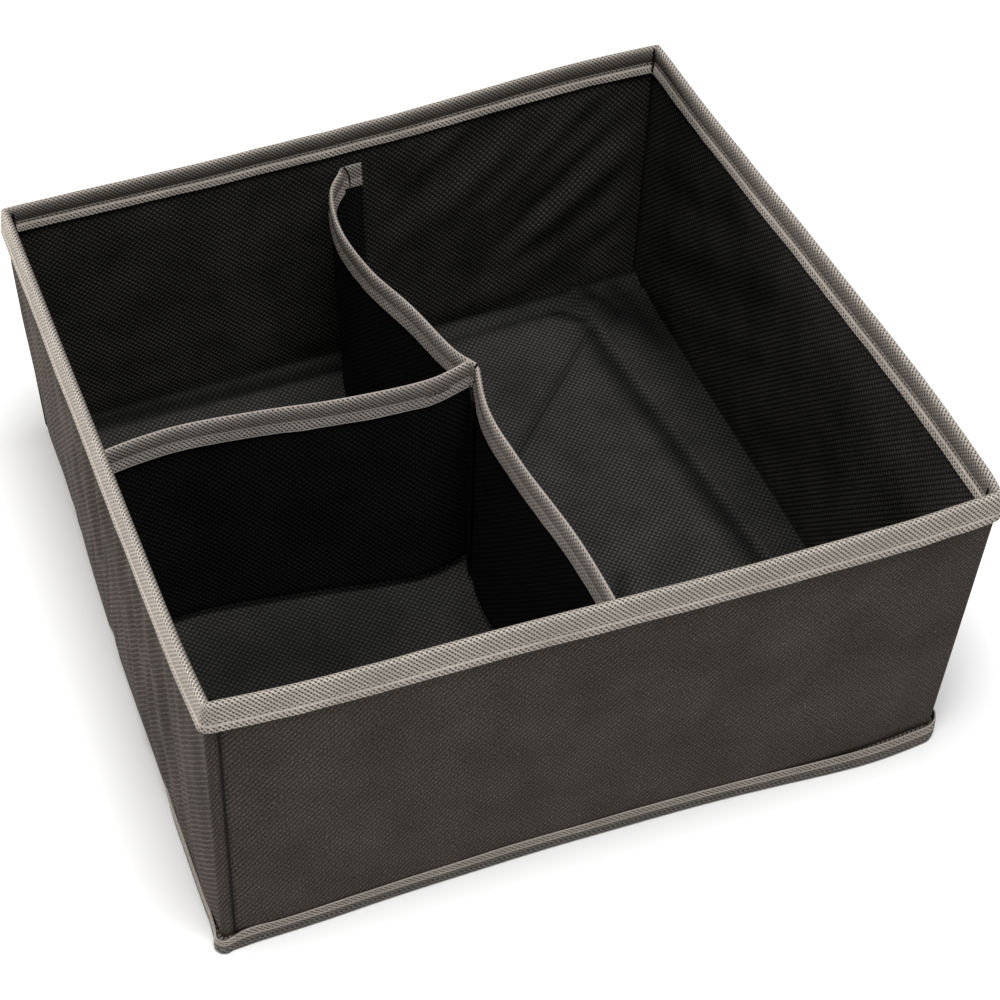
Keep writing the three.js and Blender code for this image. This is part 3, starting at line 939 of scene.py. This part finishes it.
def floor_height(x, y):
    z = FLOOR_TOP + 0.35 * drift(x, y, 3.3, lean=35, long=80, short=30)
    edge, _ = across(x, y, *CARD_EDGE)
    z -= 1.5 * ease((edge + 4) / 7) * ease((132 - y) / 16)
    z += 1.5 * ease((edge - 1.5) / 2.2) + 1.6 * hump(edge, 4, 6) + 1.6 * ease((edge - 12) / 20)
    back = y - 135
    z += 0.8 * hump(back, -2, 5) - 1.2 * hump(back, 2, 4) + 1.6 * ease((back - 2) / 9)
    ridge, along = across(x, y, *FOLD)
    inside_fold = ease((0.6 - ridge) / 2.4) * ease((90 + ridge) / 60) * ease((x - 10) / 20)
    z += (1.1 * inside_fold * ease(1.15 - along)
          + 0.9 * hump(ridge, -2.2, 4) * hump(along, 0.45, 0.6))
    z += 1.6 * hump(math.hypot(x - 113, y - 128), 10, 7) * ease((x - 98) / 12)
    for gap in (x + 145, y + 145):
        z += 1.5 * ease((10 - gap) / 10)
    return max(z, 1.6)


def make_base():
    edge = HALF - 3.0
    columns = steps(-edge, edge, 1.9)
    rows = level(steps(-edge, edge, 1.9))

    def top(x, y):
        z = floor_height(x, y)
        p = inside(x, y, 0)
        return p.x, p.y, z

    lining = cloth("floor_fabric", columns, rows, top)
    dress(lining, FLOOR_CLOTH, "base", ["floor_lining"])

    edge = BASE_EDGE - 4.0
    columns = steps(-edge, edge, 6.0)
    rows = [(edge - y, y) for y in reversed(steps(-edge, edge, 6.0))]

    def under(x, y):
        p = inside(x, y, 0)
        return Vector((p.x, p.y, 0.08 + 0.12 * (1 + drift(x, y, 1.1, long=60, short=40))))

    sheet = cloth("bottom_fabric", columns, rows, under, 0.4)
    dress(sheet, COVER, "base", ["bottom_sheet"])

    columns = steps(-BASE_CARD_X, BASE_CARD_X, 8.0)
    rows = level(steps(-BASE_CARD_Y, BASE_CARD_Y, 8.0))

    def card(x, y):
        r = 14.0
        qx, qy = abs(x) - BASE_CARD_X + r, abs(y) - BASE_CARD_Y + r
        if qx > 0 and qy > 0:
            share = min(max(qx, qy) / math.hypot(qx, qy), 1.0)
            x = math.copysign(BASE_CARD_X - r + qx * share, x)
            y = math.copysign(BASE_CARD_Y - r + qy * share, y)
        return x, y, 1.85

    base_card = cloth("base_card", columns, rows, card, 1.0)
    dress(base_card, BOARD, "base", ["base_board"])


make_base()


# ---------------------------------------------------------------- dividers
def middle_line(board, axis):
    """The plan line down the middle of a divider's card, read from the CAD node."""
    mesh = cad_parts[board].data
    high = max(v.co.z for v in mesh.vertices)
    rails = sorted({(round(v.co.x / MM, 3), round(v.co.y / MM, 3)) for v in mesh.vertices
                    if v.co.z > high - 1e-5}, key=lambda p: p[axis])
    line = [((a[0] + b[0]) / 2, (a[1] + b[1]) / 2) for a, b in zip(rails[::2], rails[1::2])]
    return line


def follow(line, count):
    """Evenly spread stations of a plan line: (run, x, y, left x, left y)."""
    spread = curve_through(line, count)
    stations = []
    for i, (run, (x, y)) in enumerate(spread):
        a = spread[max(i - 1, 0)][1]
        b = spread[min(i + 1, count)][1]
        d = Vector((b[0] - a[0], b[1] - a[1])).normalized()
        stations.append((run, x, y, -d.y, d.x))
    return stations


def make_strip(name, line, rides, nodes, wave=0.0, slim=1.0, fine=2.4, carded=True, taped=True):
    """A divider, or one of its tabs: folded lining fabric that stands on a plan line, with card
    in it where it is a divider, and binding tape over its top edge."""
    count = max(int(sum(math.dist(a, b) for a, b in zip(line, line[1:])) / fine), 8)
    stations = follow(line, count)
    runs = [station[0] for station in stations]
    at = {round(station[0], 6): station for station in stations}
    seed = 1.7 * len(name)

    def place(run, off, z, calm=False):
        _, x, y, lx, ly = at[round(run, 6)]
        ends = ease(run / 12) * ease((runs[-1] - run) / 12)
        if not calm:
            off += wave * drift(run, z, seed, lean=10, long=80, short=24) * ends \
                * ease((DIVIDER_TOP - z) / 16)
        x, y = x + lx * off, y + ly * off
        up = z / DIVIDER_TOP
        if name.startswith("cross"):
            y += up * (1.3 + 3.6 * ease((x + 62) / 50))
        else:
            x += up * (2.2 * hump(y, 44, 32) - 2.9 * hump(y, 122, 70) + 2.0 * hump(y, -98, 48))
        return inside(x, y, z + 0.5 * drift(run, 0, seed, long=40, short=50) * ends)

    if carded:
        rows = level(steps(DIVIDER_LOW + 1, DIVIDER_TOP - 1, 9.0))
        middle = [r for r in runs if 4 < r < runs[-1] - 4]
        card = cloth(f"{name}_card", middle, rows, lambda r, z: place(r, -0.4, z), 0.8)
        dress(card, BOARD, rides, nodes[:1])

    low, top, side = DIVIDER_LOW, DIVIDER_TOP - 3 if taped else DIVIDER_EDGE + 2, 0.86 * slim
    heights = steps(low + 1.2, top, 3.2)
    rows = [(top - z, (side, z)) for z in reversed(heights)]
    run = rows[-1][0]
    for turn in (30, 60, 90, 120, 150):
        a = math.radians(turn)
        run += 0.55
        rows.append((run, (side * math.cos(a), low + 1.2 - 0.9 * math.sin(a))))
    rows += [(run + 0.55 + z - heights[0], (-side, z)) for z in heights]
    sleeve = cloth(f"{name}_fabric", runs, rows, lambda r, given: place(r, *given), 0.3)
    # The divider's fabric is the darker copy: painted shade.
    dress(sleeve, SHADED_DIVIDER_CLOTH, rides, nodes[1:2])

    if not taped:
        return
    leg = DIVIDER_TOP - DIVIDER_EDGE
    half = [(1.62, 0.0), (1.5, 1.6), (1.2, 3.2), (0.94, 4.3), (1.05, 5.0), (1.2, 7.2), (1.15, 9.6),
            (0.75, 11.3)]
    section = [(-w * slim, DIVIDER_EDGE + h) for w, h in half] + [(0, DIVIDER_EDGE + leg)] \
        + [(w * slim, DIVIDER_EDGE + h) for w, h in reversed(half)]
    rows = curve_through(section, 26)

    def bind(r, given):
        off, z = given
        low = ease((DIVIDER_EDGE + 4 - z) / 4)
        fray = low * 0.3 * noise.noise(Vector((r / 11, off, seed)))
        return place(r, off + math.copysign(fray * slim, off), z + fray, calm=True)

    tape = cloth(f"{name}_binding", runs, rows, bind, 0.3, -rows[-1][0] / 2)
    dress(tape, DIVIDER_BINDING, rides, nodes[2:])
    if carded:
        for face, off in (("left", 0.98), ("right", -0.98)):
            seam = [place(r, off, DIVIDER_EDGE + 4.3, calm=True) for r in runs[1:-1]]
            stitches = thread_row(f"{name}_{face}_stitches", seam, TAPE_THREAD, 0.15)
            dress(stitches, TAPE_THREAD, rides)


def divider_nodes(name):
    return [f"{name}_board", f"{name}_sleeve", f"{name}_tape"]


centre_back = middle_line("centre_back_board", 1)[::-1]
centre_front = middle_line("centre_front_board", 1)[::-1]
cross = middle_line("cross_board", 0)
reach = Vector((cross[-1][0] - cross[-2][0], cross[-1][1] - cross[-2][1])).normalized() * 2.2
cross.append((cross[-1][0] + reach.x, cross[-1][1] + reach.y))
make_strip("centre_back", centre_back, "centre_divider", divider_nodes("centre_back"), 0.5)
make_strip("centre_front", centre_front, "centre_divider", divider_nodes("centre_front"), 0.4)
make_strip("cross", cross, "cross_divider", divider_nodes("cross"), 0.5)

# Tabs: each end of a divider turns and lies flat on what it is sewn to.
WALL_FACE = HALF - LINING_FACE
back_x, back_y = centre_back[0]
front_x, _ = centre_front[-1]
left_x, left_y = cross[0]
_, mid_y = cross[-1]
make_strip("centre_back_tab", [(back_x - 1.5, back_y - 2.2), (back_x - 1.0, back_y - 0.4),
                               (back_x - 0.2, WALL_FACE - 2.0), (back_x + 1.2, WALL_FACE - 1.0),
                               (back_x + 3.2, WALL_FACE - 0.7), (back_x + 10.2, WALL_FACE - 0.6)],
           ("back_wall", "centre_divider", (back_x + 6, WALL_FACE, 0), (back_x - 1, back_y - 2, 0)),
           ["", "centre_back_tab"], slim=0.42, fine=0.5, carded=False)
make_strip("centre_front_tab",
           [(front_x + 1.6, -WALL_FACE + 2.6), (front_x + 2.2, -WALL_FACE + 1.3),
            (front_x + 4.0, -WALL_FACE + 0.7), (front_x + 10.6, -WALL_FACE + 0.6)],
           "front_wall", ["", "centre_front_tab"], slim=0.42, fine=0.5, carded=False)
make_strip("cross_left_tab", [(left_x + 1.2, left_y + 0.3), (left_x - 0.2, left_y + 2.0),
                              (-WALL_FACE + 0.9, left_y + 4.2), (-WALL_FACE + 0.6, left_y + 10.5)],
           ("left_wall", "cross_divider", (-WALL_FACE, left_y + 7, 0), (left_x + 2, left_y, 0)),
           ["", "cross_left_tab"], slim=0.42, fine=0.5, carded=False)
beside = [(x - 1.7, y) for _, (x, y) in curve_through(centre_front, 90)
          if mid_y - 13.5 < y < mid_y - 2.0]
make_strip("cross_junction_tab", beside, "centre_divider", ["", "cross_junction_tab"], slim=0.42,
           fine=0.6, carded=False, taped=False)


def tab_seam(name, spots, rides):
    """The curved row of dark stitches that fixes a tab."""
    line = [point for _, point in curve_through([inside(*spot) for spot in spots], 24)]
    dress(thread_row(name, line, DARK_THREAD, 0.32, 2.2), DARK_THREAD, rides)


tab_seam("centre_back_tab_seam",
         [(back_x - 0.4, WALL_FACE - 1.5, 111.2), (back_x + 1.3, WALL_FACE - 1.3, 108),
          (back_x + 2.3, WALL_FACE - 1.2, 103), (back_x + 2.0, WALL_FACE - 1.2, 97)],
         "back_wall")
